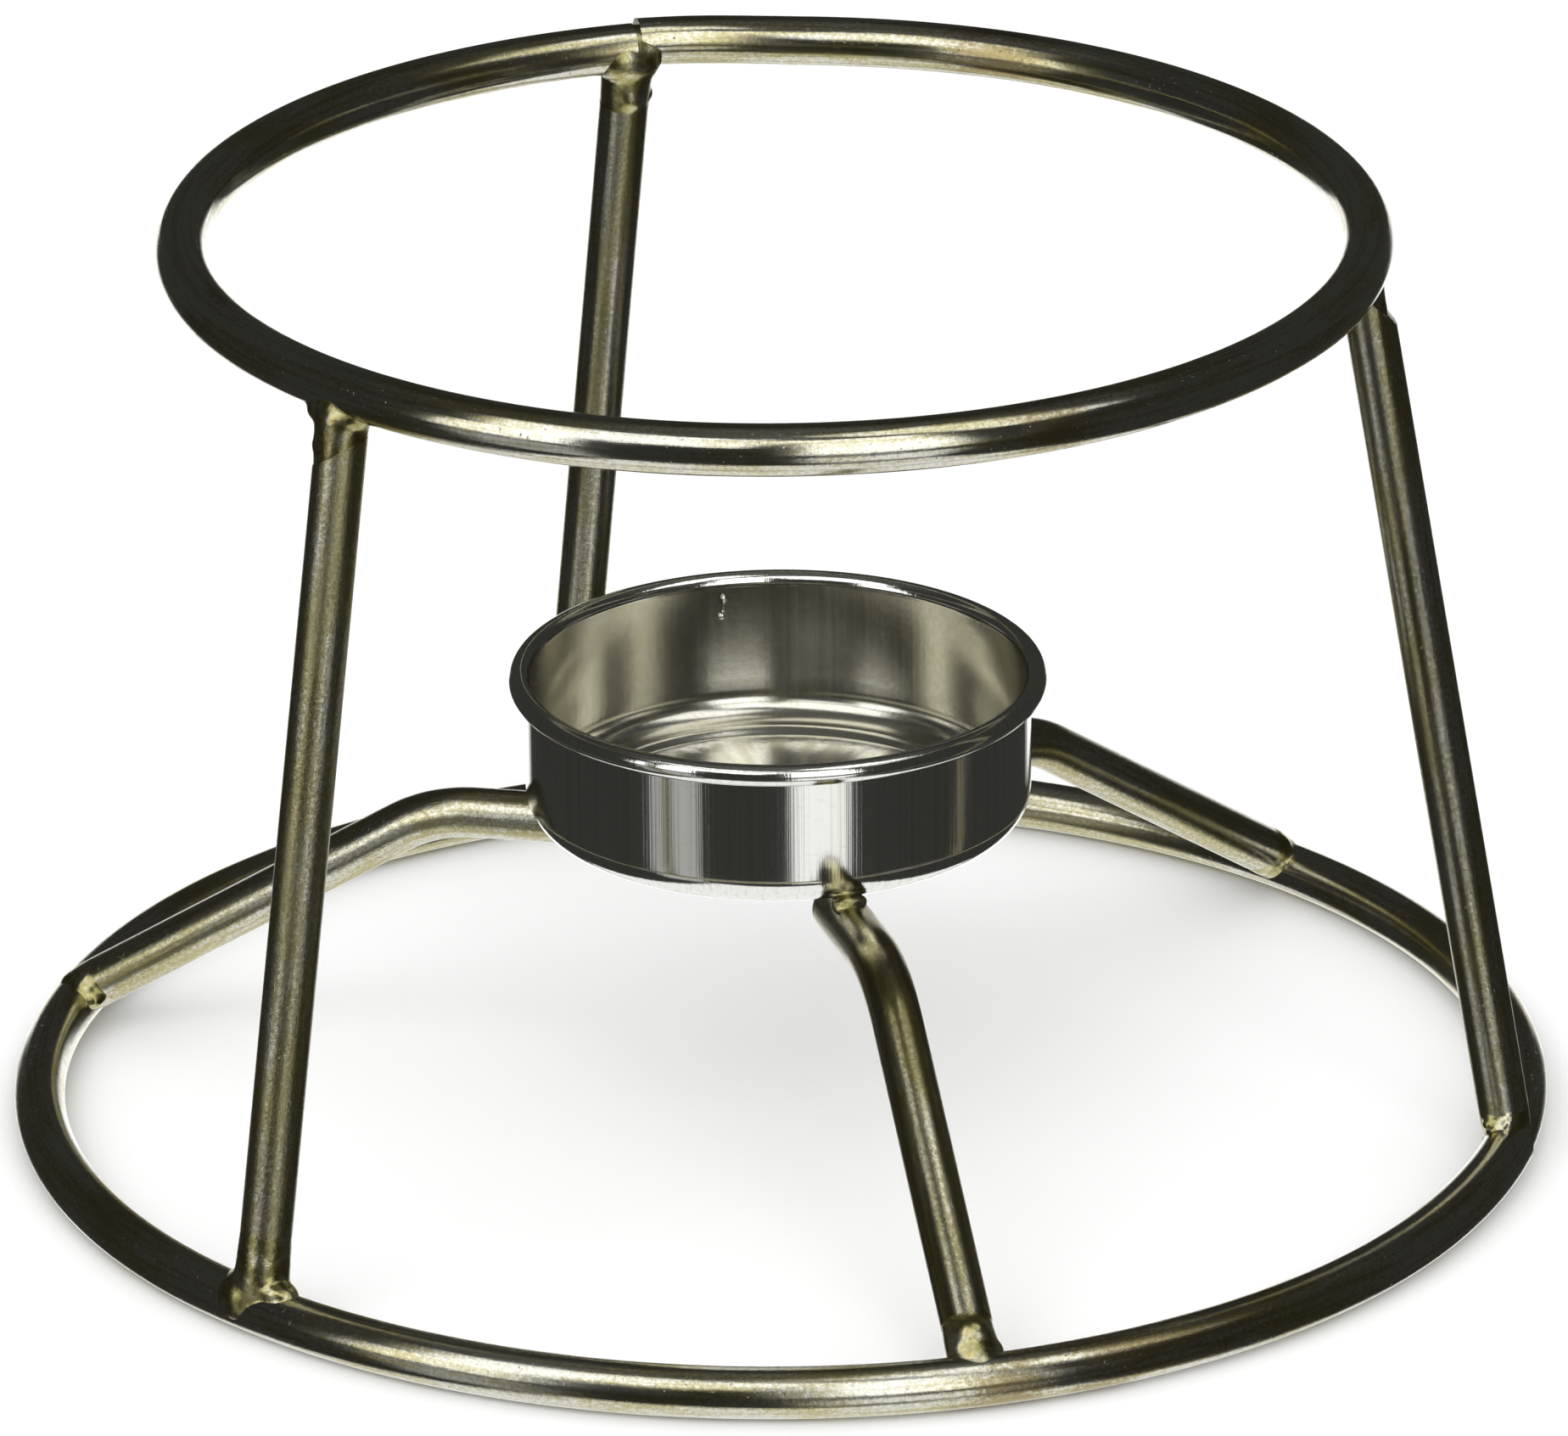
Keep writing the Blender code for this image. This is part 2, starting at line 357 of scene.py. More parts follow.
def wire_finish(name, satin, tint_and_painted_shade=0.0):
    """Nickel-plated drawn wire, with straw to brown tint round the welds and rusty patches. satin is how
    dull and grainy the plating is and the last argument how far the whole wire is darkened towards olive,
    both from 0 to 1; that darkening is partly the plating's own tint and partly painted shade."""
    f = Finish(name)
    along = f.attribute("along", "Vector")
    heat = f.attribute("heat", "Fac")
    tarnish = f.attribute("tarnish", "Fac")
    streaks = f.noise(f.scaled(along, (0.03, 1, 1)), 2.4, 3, 0.6)
    grain = f.noise(f.scaled(along, (0.7, 1, 1)), 3.4, 5, 0.75)
    cloud = f.noise(f.scaled(along, (0.25, 1, 1)), 0.32, 4)
    worn = f.step(f.noise(f.scaled(along, (0.15, 1, 1)), 0.5, 3), 0.44, 0.62)
    speckle = f.step(f.noise(along, 5.0, 2), 0.40, 0.60)
    pits = f.step(f.noise(along, 3.0, 2), 0.69, 0.76)
    mottle = 0.5 * (grain - 0.5) + 0.3 * (streaks - 0.5)
    stain = f.step(cloud + 0.3 * heat + 0.12 * satin + mottle, 0.40, 0.68)
    brown = f.step(cloud + 0.15 * heat + 0.34 * tarnish + 0.9 * mottle, 0.66, 0.88)
    color = f.blend(stain * 0.9, NICKEL, STRAW)
    # Partly painted shade: the last argument darkens the whole wire towards olive, besides the plating's
    # own tint.
    color = f.blend(0.5 * tint_and_painted_shade + 0.5 * tint_and_painted_shade * stain, color, OLIVE)
    color = f.blend(f.step(streaks + 0.4 * (grain - 0.5), 0.44, 0.68) * 0.4, color, OLIVE)
    color = f.blend(f.step(grain, 0.36, 0.64) * (0.1 + 0.4 * satin), color, OLIVE)
    color = f.blend(f.step(heat + 0.5 * mottle, 0.3, 0.9) * 0.7, color, OLIVE)
    color = f.blend(f.step(heat, 0.6, 1.0) * 0.5, color, SOOT)
    color = f.blend(brown * 0.6, color, RUST)
    color = f.blend(speckle * (0.10 + 0.16 * satin), color, SOOT)
    color = f.blend(pits * 0.6, color, SOOT)
    roughness = 0.10 + 0.13 * satin + 0.04 * stain + 0.10 * worn * grain + 0.06 * brown
    normal = f.relief(streaks, (0.011 + 0.010 * satin) * MM)
    normal = f.relief(grain * (0.15 + 0.95 * satin + 0.15 * worn), 0.032 * MM, normal)
    normal = f.relief(1 - pits, 0.015 * MM, normal)
    return f.done(color, roughness, normal)


def weld_finish():
    """Weld metal plated over: smooth and wavy, tinted straw and olive, with specks of brown."""
    f = Finish("weld_metal")
    place = f.place()
    lumps = f.noise(place, 0.7, 3)
    grain = f.noise(place, 2.6, 5, 0.65)
    tint = f.step(lumps + 0.3 * (grain - 0.5), 0.34, 0.62)
    specks = f.step(f.noise(place, 1.9, 3), 0.60, 0.70)
    color = f.blend(tint, OLIVE, STRAW)
    color = f.blend(f.step(lumps, 0.50, 0.66) * 0.5, color, NICKEL)
    color = f.blend(specks * 0.5, color, RUST)
    roughness = 0.17 + 0.12 * grain + 0.08 * specks
    normal = f.relief(lumps, 0.02 * MM)
    normal = f.relief(grain, 0.03 * MM, normal)
    return f.done(color, roughness, normal)


def cup_finish():
    """Bright drawn sheet: upright draw lines outside, softer and mottled inside."""
    f = Finish("drawn_cup_sheet")
    place = f.place()
    inside = f.attribute("inside", "Fac")
    lines = f.noise(f.scaled(place, (1, 1, 0.003)), 2.6, 3, 0.7)
    wide = f.noise(f.scaled(place, (1, 1, 0.05)), 0.35, 2)
    mottle = f.noise(place, 2.4, 3, 0.7)
    cloud = f.noise(place, 0.25, 3)
    scuffs = f.step(f.noise(f.scaled(place, (1, 1, 2.5)), 1.1, 3), 0.58, 0.72)
    color = f.blend(inside * (0.3 + 0.6 * cloud), BRIGHT, DULL)
    color = f.blend(inside * f.step(mottle, 0.42, 0.62) * 0.2, color, STRAW)
    color = f.blend(f.step(lines, 0.50, 0.64) * (1 - inside) * 0.45, color, DULL)
    color = f.blend(scuffs * 0.15, color, (0.45, 0.45, 0.45, 1))
    roughness = 0.06 + 0.03 * scuffs + 0.08 * lines + inside * (0.05 + 0.06 * mottle)
    normal = f.relief(lines * (1 - 0.8 * inside), 0.012 * MM)
    normal = f.relief(wide * (1 - 0.75 * inside), 0.015 * MM, normal)
    normal = f.relief(mottle * (0.1 + inside), 0.004 * MM, normal)
    return f.done(color, roughness, normal)


# ---------------------------------------------------------------- wires


def bent_ring(node, finish):
    """A ring of round wire whose two ends face each other across an opening at the seam. The end before
    the seam stands out and up from the other one."""
    radius, height = ring_of(node)
    seam = seam_of(node)
    opening, out, up = (size * MM for size in RING_SEAMS[node])
    half = opening / radius / 2
    start = math.radians(seam) + half
    along = Vector((-math.sin(start), math.cos(start), 0))
    clear_bench()
    bpy.ops.mesh.primitive_circle_add(
        vertices=WIRE_SIDES,
        radius=WIRE / 2,
        fill_type="NGON",
        location=on_ring(radius, math.degrees(start), height),
        rotation=turned(along),
    )
    obj = at_bench(node + "_wire")
    swing((0, 0, height), (0, 0, 1), 2 * math.pi - 2 * half, RING_STEPS)
    bpy.ops.mesh.select_all(action="SELECT")
    bpy.ops.mesh.remove_doubles(threshold=1e-6)
    last = math.radians(seam) - half
    away = Vector((math.cos(last), math.sin(last), 0))
    lift = away * out + Vector((0, 0, up))
    nudge(obj, away * radius + Vector((0, 0, height)), lift, SEAM_REACH)
    bpy.ops.object.mode_set(mode="OBJECT")

    def place(co):
        turn = (math.atan2(co.y, co.x) - math.radians(seam)) % (2 * math.pi)
        return radius * turn, math.hypot(co.x, co.y) - radius, co.z - height

    keep_along(obj, place)
    keep_marks(obj)
    return finish_piece(obj, finish, [node])


def saw_ends(node, ends):
    """Saws and chamfers the ends of a wire. Each cut is (weld, distance from the middle of the ring in mm,
    how far to the side it goes through the wire in mm, slope to the right, slope to the front)."""
    for joint, distance, side, right, front in ends:
        middle, along, _ = JOINTS[node + joint]
        place = middle + along * distance * MM + Vector((side * MM, 0, 0))
        saw(place, -(along + Vector((right, -front, 0))))


def straight_leg(node, finish):
    """A leg of straight wire between both rings."""
    top, up = end_of(node, top_end)
    foot, down = end_of(node, bottom_end)
    top, foot = top + up * SUNK, foot + down * SUNK
    length = (top - foot).length
    clear_bench()
    bpy.ops.mesh.primitive_cylinder_add(
        vertices=WIRE_SIDES,
        radius=WIRE / 2,
        depth=length,
        location=(top + foot) / 2,
        rotation=turned(up),
    )
    obj = at_bench(node + "_wire")
    axis = (top - foot).normalized()
    bm = bmesh.from_edit_mesh(obj.data)
    bpy.ops.mesh.select_all(action="DESELECT")
    for edge in bm.edges:
        edge.select_set(edge.calc_length() > length / 2)
    bmesh.update_edit_mesh(obj.data)
    bpy.ops.mesh.subdivide(number_cuts=round(length / WIRE_SPACING))
    saw_ends(node, WIRE_CUTS[node])
    bpy.ops.object.mode_set(mode="OBJECT")
    side = axis.orthogonal().normalized()
    other = axis.cross(side)
    keep_along(obj, lambda co: ((co - foot).dot(axis), (co - foot).dot(side), (co - foot).dot(other)))
    keep_marks(obj)
    return finish_piece(obj, finish, [node])


def bent_arm(node, finish):
    """An arm of wire with one bend, from under the cup into the base ring."""
    seat, inward = end_of(node, inner_end)
    seat = seat + inward * ARM_TUCK + Vector((0, 0, ARM_LIFT))
    foot, outward = end_of(node, outer_end)
    level, slope = -inward, outward
    across = level.cross(slope).normalized()
    angle = level.angle(slope)
    # The two straight lines meet at the corner that the bend rounds off.
    reach = (foot - seat).dot(across.cross(slope)) / level.dot(across.cross(slope))
    corner = seat + level * reach
    cut_back = BEND_RADIUS * math.tan(angle / 2)
    centre = corner - level * cut_back + across.cross(level) * BEND_RADIUS
    foot = foot + slope * SUNK
    clear_bench()
    bpy.ops.mesh.primitive_circle_add(
        vertices=WIRE_SIDES, radius=WIRE / 2, fill_type="NGON", location=seat, rotation=turned(level)
    )
    obj = at_bench(node + "_wire")
    first = (corner - level * cut_back - seat).length
    run_on(level * first, 12)
    swing(centre, across, angle, BEND_STEPS)
    last = (foot - corner).length - cut_back
    run_on(slope * last, round(last / WIRE_SPACING))
    bpy.ops.mesh.select_all(action="SELECT")
    bpy.ops.mesh.remove_doubles(threshold=1e-6)
    saw_ends(node, WIRE_CUTS[node])
    bpy.ops.object.mode_set(mode="OBJECT")
    bend_start = corner - level * cut_back

    def place(co):
        lift = across.cross(level)
        if (co - bend_start).dot(level) <= 0:
            away = co - seat
            return away.dot(level), away.dot(across), away.dot(lift)
        spoke = co - centre
        flat = spoke - across * spoke.dot(across)
        turn = (-lift).angle(flat, 0)
        if turn <= angle and flat.dot(level) > 0:
            return first + BEND_RADIUS * turn, spoke.dot(across), BEND_RADIUS - flat.length
        away = co - (foot - slope * last)
        distance = first + BEND_RADIUS * angle + away.dot(slope)
        return distance, away.dot(across), away.dot(across.cross(slope))

    keep_along(obj, place)
    keep_marks(obj)
    return finish_piece(obj, finish, [node])


# ---------------------------------------------------------------- cup


def drawn_cup(finish):
    """The cup: a drawn shell with a sunk floor panel, a round corner and a bead rolled outwards."""
    low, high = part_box("fuel_cup")
    outer = cup_wall()
    middle = outer - CUP_SHEET / 2
    bottom = low.z + PANEL_DROP + CUP_SHEET / 2
    bead = (outer - CUP_SHEET + BEAD_RADIUS, high.z - BEAD_RADIUS)
    roll = BEAD_RADIUS - CUP_SHEET / 2
    clear_bench()
    bpy.ops.mesh.primitive_cylinder_add(
        vertices=CUP_SIDES,
        radius=middle,
        depth=bead[1] - bottom,
        end_fill_type="NGON",
        location=(0, 0, (bead[1] + bottom) / 2),
    )
    obj = at_bench("fuel_cup_shell")
    pick(obj, lambda co: co.z > bead[1] - 1e-5)
    bpy.ops.mesh.delete(type="ONLY_FACE")
    pick(obj, lambda co: co.z < bottom + 1e-5)
    radius = middle
    for new_radius, drop in FLOOR_STEPS:
        new_radius *= MM
        bpy.ops.mesh.inset(thickness=radius - new_radius)
        bpy.ops.transform.translate(value=(0, 0, -drop * PANEL_DROP))
        radius = new_radius
    pick(obj, lambda co: abs(co.z - bottom) < 1e-6 and co.xy.length > middle - 1e-5)
    bpy.ops.mesh.bevel(offset=CUP_CORNER, segments=12, affect="EDGES")
    for height in WALL_LINES:
        bpy.ops.mesh.select_all(action="SELECT")
        bpy.ops.mesh.bisect(plane_co=(0, 0, bottom + (bead[1] - bottom) * height), plane_no=(0, 0, 1))
    pick(obj, lambda co: co.z > bead[1] - 1e-5)
    rolled = 32
    around = math.radians(345)
    radius = middle
    for i in range(1, rolled + 1):
        angle = math.pi - around * i / rolled
        new_radius = bead[0] + roll * math.cos(angle)
        rise = roll * (math.sin(angle) - math.sin(angle + around / rolled))
        bpy.ops.mesh.extrude_edges_move(TRANSFORM_OT_translate={"value": (0, 0, rise)})
        share = new_radius / radius
        bpy.ops.transform.resize(value=(share, share, 1), center_override=(0, 0, 0))
        radius = new_radius
    bpy.ops.mesh.select_all(action="SELECT")
    bpy.ops.mesh.normals_make_consistent(inside=False)
    bpy.ops.object.mode_set(mode="OBJECT")
    modify(obj, "SOLIDIFY", thickness=CUP_SHEET, offset=0, use_even_offset=True)
    inside = [v.co.z < bead[1] and v.co.xy.length < middle and v.normal.xy.dot(v.co.xy) <= 0
              and v.normal.z > -0.5 for v in obj.data.vertices]
    layer = obj.data.attributes.new("inside", "FLOAT", "POINT")
    layer.data.foreach_set("value", np.array(inside, np.float32))
    return finish_piece(obj, finish, ["fuel_cup"])


# ---------------------------------------------------------------- welds


def add_lump(kind, middle, axes, **sizes):
    """One lump of weld metal: a ball or a tapered plug, with the directions of its own axes."""
    place = Matrix.Translation(middle) @ axes.to_4x4()
    if kind == "ball":
        bpy.ops.mesh.primitive_uv_sphere_add(segments=32, ring_count=20, radius=1)
    else:
        bpy.ops.mesh.primitive_cone_add(
            vertices=40, radius1=sizes["start"], radius2=sizes["end"], depth=sizes["length"]
        )
    obj = bpy.context.object
    size = sizes.get("size", (1, 1, 1))
    obj.matrix_world = place @ Matrix.Diagonal((*size, 1))
    bpy.ops.object.transform_apply(location=True, rotation=True, scale=True)
    return obj


def weld(name, middle, axes, lumps, node, finish, melt=60):
    """Weld metal: lumps run together, smoothed by how far they melted, and left slightly uneven. The
    lumps' places are in mm along the axes."""
    clear_bench()
    made = []
    for kind, offset, sizes in lumps:
        spot = middle + axes @ (Vector(offset) * MM)
        turn = Matrix.Rotation(math.radians(sizes.get("turn", 0)), 3, sizes.get("about", "X"))
        real = {k: v * MM for k, v in sizes.items() if k in ("start", "end", "length")}
        if "size" in sizes:
            real["size"] = tuple(s * MM for s in sizes["size"])
        made.append(add_lump(kind, spot, axes @ turn, **real))
    bpy.ops.object.select_all(action="DESELECT")
    for lump in made:
        lump.select_set(True)
    bpy.context.view_layer.objects.active = made[0]
    bpy.ops.object.join()
    obj = bpy.context.object
    obj.name = obj.data.name = name
    modify(obj, "REMESH", mode="VOXEL", voxel_size=WELD_VOXEL)
    modify(obj, "SMOOTH", factor=0.5, iterations=melt)
    texture = bpy.data.textures.new(name + "_lumps", "CLOUDS")
    texture.noise_scale = WELD_WAVES
    modify(obj, "DISPLACE", texture=texture, strength=WELD_UNEVEN, mid_level=0.5, texture_coords="LOCAL")
    return finish_piece(obj, finish, [node])


def seam_plug(ring, finish):
    """The weld metal that shows in the gap of a ring's seam, a little below the wire's own surface."""
    radius, height = ring_of(ring)
    middle = on_ring(radius, seam_of(ring), height)
    axes = joint_axes(tangent_at(middle), Vector((0, 0, 1)))
    lumps = [("plug", (0, 0, 0), {"start": 1.75, "end": 1.75, "length": 2.4, "turn": 90, "about": "Y"})]
    weld(ring + "_seam_weld_bead", middle, axes, lumps, ring + "_seam_weld", finish, melt=10)


def joint_axes(tangent, along):
    """Axes at a joint: along the ring, out of their plane, and along the wire that meets it."""
    out = along.cross(tangent).normalized()
    tangent = out.cross(along).normalized()
    return Matrix((tangent, out, along)).transposed()


def tangent_at(point):
    return Vector((-point.y, point.x, 0)).normalized()


def plug(length, widest=2.14, end=1.88):
    """Weld metal up the end of the wire from the middle of the ring, widest where it leaves the ring."""
    return [
        ("plug", (0, 0, 1.1), {"start": 1.8, "end": widest, "length": 2.2}),
        ("plug", (0, 0, 1.1 + length / 2), {"start": widest, "end": end, "length": length - 2.2}),
    ]


def saddle(place, reach, middle=1.97, end=1.78):
    """Weld metal both ways round the ring from a place on it, that sinks into it at its ends."""
    sizes = {"length": reach, "turn": 90, "about": "Y"}
    side = Vector((reach / 2, 0, 0))
    return [
        ("plug", place - side, {"start": end, "end": middle, **sizes}),
        ("plug", place + side, {"start": middle, "end": end, **sizes}),
    ]


def ball(x, y, z, *size):
    return ("ball", (x, y, z), {"size": size})


# What each joint's weld is made of, in mm, besides its saddle. x runs round the ring, anticlockwise from
# above, z runs up the wire that meets it, and y is square to both: out on the top ring, in at a leg's foot
# and down at an arm's.
WELD_LUMPS = {
    "leg_back_top_weld": [
        *plug(7.0),
        ball(0.4, -0.9, 0.7, 2.6, 1.6, 1.8),
        ball(-0.6, -0.1, 1.6, 2.0, 1.8, 1.0),
        ball(-0.05, -1.25, 3.9, 1.2, 1.1, 1.1),
        ball(-1.85, -0.3, 4.1, 0.5, 0.5, 0.7),
    ],
    "leg_left_top_weld": [
        ("plug", (0, 0, 1.1), {"start": 1.8, "end": 2.14, "length": 2.2}),
        ("plug", (-0.09, 0, 4.35), {"start": 2.14, "end": 1.87, "length": 4.3}),
        ball(-0.9, 0, 2.0, 2.5, 1.9, 1.1),
        ball(0.6, 0, 1.9, 2.1, 1.9, 0.9),
        ball(-0.7, 1.2, 4.3, 0.9, 0.9, 1.0),
    ],
    "leg_right_top_weld": [
        ("plug", (0, -0.28, 3.0), {"start": 1.8, "end": 1.7, "length": 6.0}),
        ball(0, -0.4, 1.8, 2.4, 1.6, 0.9),
    ],
    "leg_back_foot_weld": [*plug(6.0), ball(0, 0, 1.9, 2.8, 1.95, 1.1)],
    "leg_left_foot_weld": [
        *plug(9.0, 2.2, 1.9),
        ball(-0.3, 0, 1.9, 3.0, 2.0, 1.2),
        ball(-1.1, -1.1, 0.8, 1.9, 1.35, 2.0),
        ball(1.5, -0.1, 1.9, 2.2, 1.6, 0.9),
    ],
    "leg_right_foot_weld": [
        *plug(5.0, 2.04, 1.86),
        ball(0, 0, 1.8, 2.5, 1.9, 1.0),
        ball(-1.9, 0.9, 2.3, 0.6, 0.6, 0.5),
        ball(-1.9, -0.7, 2.3, 0.6, 0.6, 0.5),
    ],
    "arm_front_foot_weld": [
        ("plug", (0, 0.1, 1.3), {"start": 1.7, "end": 2.08, "length": 1.8}),
        ("plug", (0, 0, 4.5), {"start": 2.1, "end": 1.86, "length": 4.8}),
        ball(0.2, 0.2, 2.3, 2.3, 1.8, 1.0),
        ball(0, -1.0, 3.4, 1.5, 1.3, 1.2),
    ],
    "arm_left_foot_weld": [
        *plug(5.5, 2.04, 1.86),
        ball(0, 0, 1.9, 2.5, 1.9, 0.9),
        ball(1.4, -1.0, 2.5, 0.55, 0.5, 0.5),
        ball(1.8, -0.2, 2.7, 0.55, 0.55, 0.55),
        ball(1.9, 0.7, 2.4, 0.9, 0.8, 0.8),
    ],
    "arm_right_foot_weld": [
        *plug(5.5, 2.08, 1.88),
        ball(0, 0.1, 1.9, 2.4, 1.85, 0.9),
        ball(-0.9, -0.5, 2.2, 1.3, 1.3, 1.2),
    ],
}
SADDLE_REACH = {"leg_back_top_weld": 2.6, "leg_right_foot_weld": 3.0, "arm_front_foot_weld": 3.2}
# The dab in the corner between an arm and the cup: x along the wall, y up and z out from the wall.
CUP_LUMPS = [ball(0, 0.3, -1.3, 1.5, 0.75, 1.0), ball(-0.3, 0.1, -0.9, 1.2, 0.55, 0.8)]

# A drip of plating down the inside of the cup: where the middle of its run is, and its lumps.
DRIP_TURN = 103
DRIP_DEPTH = 0.55 * MM  # in from the outside of the wall
DRIP_DROP = 2.6 * MM  # down from the rim
DRIP_LUMPS = [
    ball(0, 0, 0, 0.24, 0.2, 0.9),
    ball(0.1, 0, -0.8, 0.34, 0.26, 0.3),
    ball(-0.1, 0, 0.7, 0.3, 0.22, 0.4),
]

# How each wire is sawn off at its welds: which weld, how far from the ring, to the right of the wire's
# middle, and the cut's slopes to the right and to the front.
WIRE_CUTS = {
    "leg_back": [("_top_weld", 5.0, 0, 0.0, 0.0)],
    "leg_left": [("_top_weld", 4.7, 0, 0.62, 0.1), ("_foot_weld", 5.0, 0, 0.1, 0.0)],
    "leg_right": [("_top_weld", 4.2, 2.0, -2.6, 0.0), ("_foot_weld", 2.8, 0, 0.0, 0.0)],
    "arm_front": [("_foot_weld", 4.7, 0, 0.0, 0.0)],
    "arm_left": [("_foot_weld", 3.2, 0, -0.3, 0.0)],
    "arm_right": [("_foot_weld", 3.6, 0, 0.3, 0.0)],
}


# ---------------------------------------------------------------- stage


def add_camera():
    data = bpy.data.cameras.new("camera")
    data.lens = CAMERA_LENS
    data.sensor_width = 36.0
    data.clip_end = 10.0
    camera = bpy.data.objects.new("camera", data)
    bpy.context.scene.collection.objects.link(camera)
    back = Vector((0, -math.cos(CAMERA_ELEVATION), math.sin(CAMERA_ELEVATION)))
    place = back * CAMERA_DISTANCE
    look = Vector((0, 0, CAMERA_AIM)) - place
    look.rotate(Matrix.Rotation(CAMERA_YAW, 3, "Z"))
    camera.rotation_mode = "QUATERNION"
    roll = Matrix.Rotation(CAMERA_ROLL, 3, "Z").to_quaternion()
    camera.location = place
    camera.rotation_quaternion = look.to_track_quat("-Z", "Y") @ roll
    bpy.context.scene.camera = camera
    bpy.context.scene.view_settings.view_transform = "Standard"


def add_floor():
    """A plain pale floor. The metal doesn't mirror it: it mirrors the studio's own white table."""
    clear_bench()
    bpy.ops.mesh.primitive_plane_add(size=FLOOR_SIZE)
    floor = bpy.context.object
    floor.name = "floor"
    f = Finish("pale_floor")
    floor.data.materials.append(f.material)
    f.feed(f.shader.inputs["Base Color"], (0.94, 0.94, 0.94, 1))
    f.feed(f.shader.inputs["Roughness"], 0.9)
    f.feed(f.shader.inputs["Specular IOR Level"], 0.0)
    floor.visible_glossy = floor.visible_shadow = False


def add_light(name, place, aim, width, height, glow, on_floor=False):
    """A flat soft light with an even glow that faces a point. Only the metal sees it, unless it is
    on_floor."""
    data = bpy.data.lights.new(name, "AREA")
    data.shape = "RECTANGLE"
    data.size, data.size_y = width, height
    data.energy = math.pi * width * height * glow
    light = bpy.data.objects.new(name, data)
    light.location = place
    light.rotation_mode = "QUATERNION"
    light.rotation_quaternion = (Vector(place) - Vector(aim)).to_track_quat("Z", "Y")
    light.visible_camera = False
    light.visible_diffuse = on_floor
    bpy.context.scene.collection.objects.link(light)


def add_upright(name, azimuth, low, high, distance, half_width, glow, on_floor=False):
    """An upright light, at an azimuth from the front and between two elevations, in degrees."""
    turn = math.radians(azimuth)
    bottom, top = (distance * math.tan(math.radians(e)) for e in (low, high))
    middle = (bottom + top) / 2
    way = Vector((math.sin(turn), -math.cos(turn), 0))
    width = 2 * distance * math.tan(math.radians(half_width))
    place = way * distance + Vector((0, 0, middle))
    add_light(name, place, (0, 0, middle), width, top - bottom, glow, on_floor)


def add_room():
    """A dim room round the studio that only the metal sees: dark walls under a greyer ceiling."""
    clear_bench()
    bpy.ops.mesh.primitive_uv_sphere_add(segments=48, ring_count=24, radius=ROOM_RADIUS)
    room = bpy.context.object
    room.name = "room"
    f = Finish("dim_room")
    room.data.materials.append(f.material)
    height = f.add("SeparateXYZ", {}, {0: f.place()}, 2)
    upper = f.step(height, 0.75 * ROOM_RADIUS / MM, ROOM_RADIUS / MM)
    glow = f.blend(upper, (0.038, 0.038, 0.034, 1), (0.11, 0.11, 0.10, 1))
    f.feed(f.shader.inputs["Base Color"], (0, 0, 0, 1))
    f.feed(f.shader.inputs["Roughness"], 1.0)
    f.feed(f.shader.inputs["Specular IOR Level"], 0.0)
    f.feed(f.shader.inputs["Emission Color"], glow)
    f.feed(f.shader.inputs["Emission Strength"], 1.0)
    room.visible_camera = room.visible_diffuse = room.visible_shadow = False


def add_world():
    """Pale light from all round on the floor, which the metal doesn't see."""
    world = bpy.data.worlds.new("studio")
    bpy.context.scene.world = world
    world.use_nodes = True
    background = world.node_tree.nodes["Background"]
    background.inputs["Color"].default_value = (0.98, 0.98, 0.98, 1)
    world.cycles_visibility.glossy = False


def add_lights():
    """Two soft boxes in front, either side of the camera, over a white table with a white sweep behind."""
    add_upright("right_box", 19, 0, 58, 0.9, 14, 1.9, True)
    add_upright("right_box_low", 19, -36, -12, 0.9, 13, 1.1)
    add_light("right_box_top", (0.43, -0.24, 1.0), (0.1, -0.1, 0), 0.44, 0.66, 1.5)
    add_light("left_box", (-0.35, -0.57, 0.77), (0, 0, 0), 0.80, 0.64, 1.7, True)
    add_upright("left_box_side", -49, 0, 32, 0.95, 13, 1.8)
    add_upright("left_box_low", -48, -42, -6, 0.95, 12, 0.42)
    add_light("table", (0, -0.03, -0.5), (0, -0.03, 0), 0.62, 0.95, 1.05)
    add_light("sweep", (0, 0.62, -0.32), (0, 0, -0.32), 0.56, 0.62, 1.3)


# ---------------------------------------------------------------- the stand

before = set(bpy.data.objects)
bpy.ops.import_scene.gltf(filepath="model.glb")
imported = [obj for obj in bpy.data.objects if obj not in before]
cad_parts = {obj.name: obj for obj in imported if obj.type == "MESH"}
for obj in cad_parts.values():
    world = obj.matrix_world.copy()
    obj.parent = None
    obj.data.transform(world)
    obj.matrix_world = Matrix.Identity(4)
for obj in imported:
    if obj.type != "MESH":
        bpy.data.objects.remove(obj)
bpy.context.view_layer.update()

ring_low, ring_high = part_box("top_ring")
WIRE = ring_high.z - ring_low.z
HEAT_REACH = 5.0 * MM
TARNISH_REACH = 5.0 * MM

LEGS = ("leg_back", "leg_left", "leg_right")
ARMS = ("arm_front", "arm_left", "arm_right")
TOP_RADIUS, TOP_HEIGHT = ring_of("top_ring")
BASE_RADIUS, BASE_HEIGHT = ring_of("base_ring")


def ring_joint(node, key, radius, height):
    """(where a wire ends in its ring, its direction away from the ring, the ring's own middle there)."""
    end, outward = end_of(node, key)
    angle = angle_of(end)
    on = on_ring(radius, angle, height)
    middle = end + outward * (on - end).dot(outward)
    return middle, -outward, on


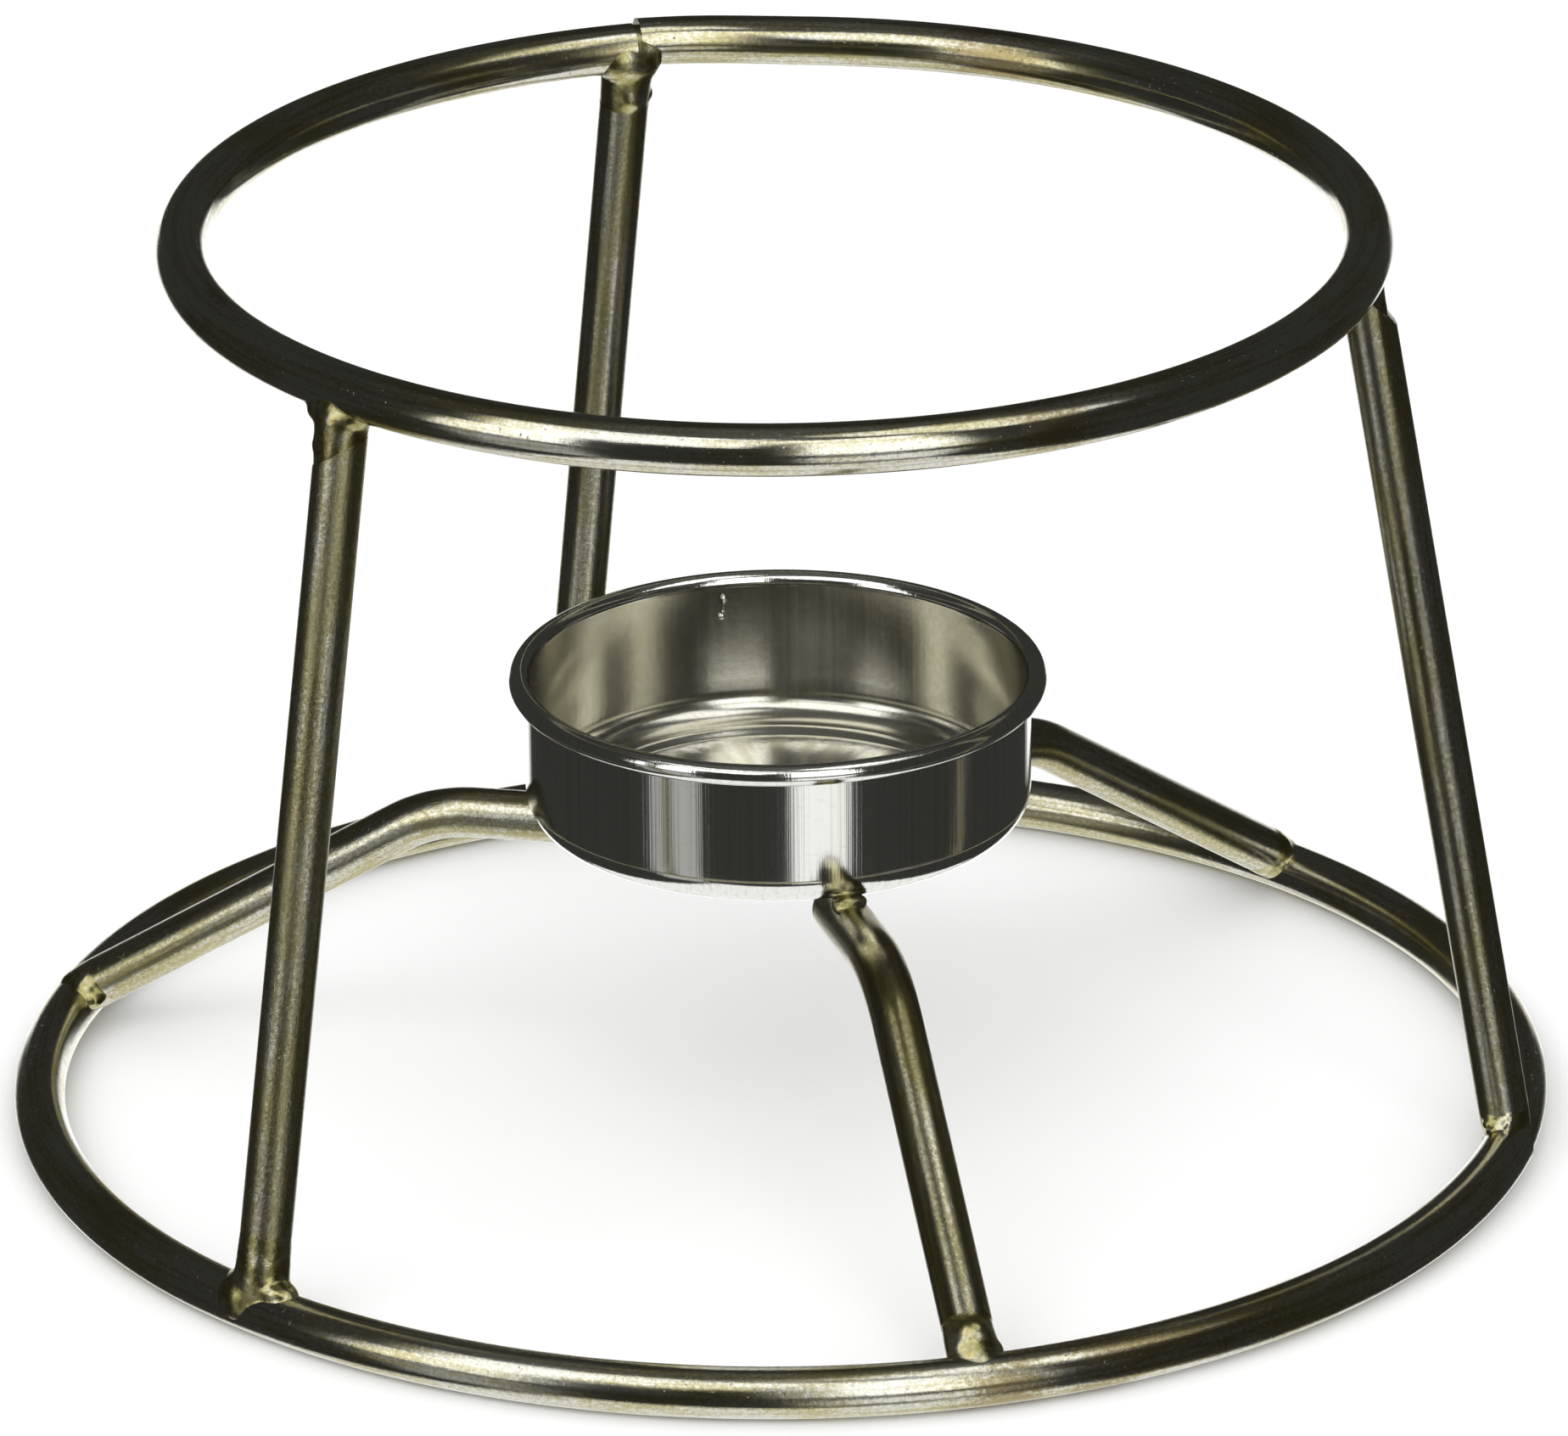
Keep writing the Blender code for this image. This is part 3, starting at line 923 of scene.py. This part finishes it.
JOINTS = {}
for leg in LEGS:
    JOINTS[leg + "_top_weld"] = ring_joint(leg, top_end, TOP_RADIUS, TOP_HEIGHT)
    JOINTS[leg + "_foot_weld"] = ring_joint(leg, bottom_end, BASE_RADIUS, BASE_HEIGHT)
for arm in ARMS:
    JOINTS[arm + "_foot_weld"] = ring_joint(arm, outer_end, BASE_RADIUS, BASE_HEIGHT)
CUP_JOINTS = {arm + "_cup_weld": sum(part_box(arm + "_cup_weld"), Vector()) / 2 for arm in ARMS}
WELDS = [middle for middle, _, _ in JOINTS.values()] + list(CUP_JOINTS.values())

TARNISHED = [on_ring(TOP_RADIUS, turn, TOP_HEIGHT + WIRE / 2) for turn in (296, 68, 203)]
TARNISHED += [on_ring(BASE_RADIUS, turn, BASE_HEIGHT) for turn in (286, 294, 303)]

polished = wire_finish("plated_ring_wire", 0.0)
scuffed = wire_finish("plated_base_wire", 0.15)
satin = wire_finish("plated_arm_wire", 0.4)
# The front arm gets a darker olive copy of the arm wire: partly its own tint, partly painted shade for the
# darker reflections it shows.
olive = wire_finish("front_arm_wire_with_painted_shade", 0.4, 0.8)
grainy = wire_finish("plated_leg_wire", 0.9)
melted = weld_finish()
bright = cup_finish()

bent_ring("top_ring", polished)
bent_ring("base_ring", scuffed)
for leg in LEGS:
    straight_leg(leg, grainy if leg == "leg_left" else satin)
for arm in ARMS:
    bent_arm(arm, olive if arm == "arm_front" else satin)
drawn_cup(bright)

for name, (middle, along, on) in JOINTS.items():
    axes = joint_axes(tangent_at(middle), along)
    place = axes.transposed() @ (on - middle) / MM
    lumps = saddle(place, SADDLE_REACH.get(name, 4.5)) + WELD_LUMPS[name]
    weld(name + "_bead", middle, axes, lumps, name, melted)
cup_low, cup_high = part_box("fuel_cup")
for name, middle in CUP_JOINTS.items():
    outward = Vector((middle.x, middle.y, 0)).normalized()
    seat = outward * cup_wall() + Vector((0, 0, cup_low.z))
    weld(name + "_bead", seat, joint_axes(tangent_at(middle), outward), CUP_LUMPS, name, melted, melt=12)
drip = on_ring(cup_wall() - DRIP_DEPTH, DRIP_TURN, cup_high.z - DRIP_DROP)
drip_axes = joint_axes(tangent_at(drip), Vector((0, 0, 1)))
weld("fuel_cup_drip", drip, drip_axes, DRIP_LUMPS, "fuel_cup", bright, melt=8)
for ring in RING_SEAMS:
    seam_plug(ring, melted)

add_camera()
add_floor()
add_world()
add_room()
add_lights()
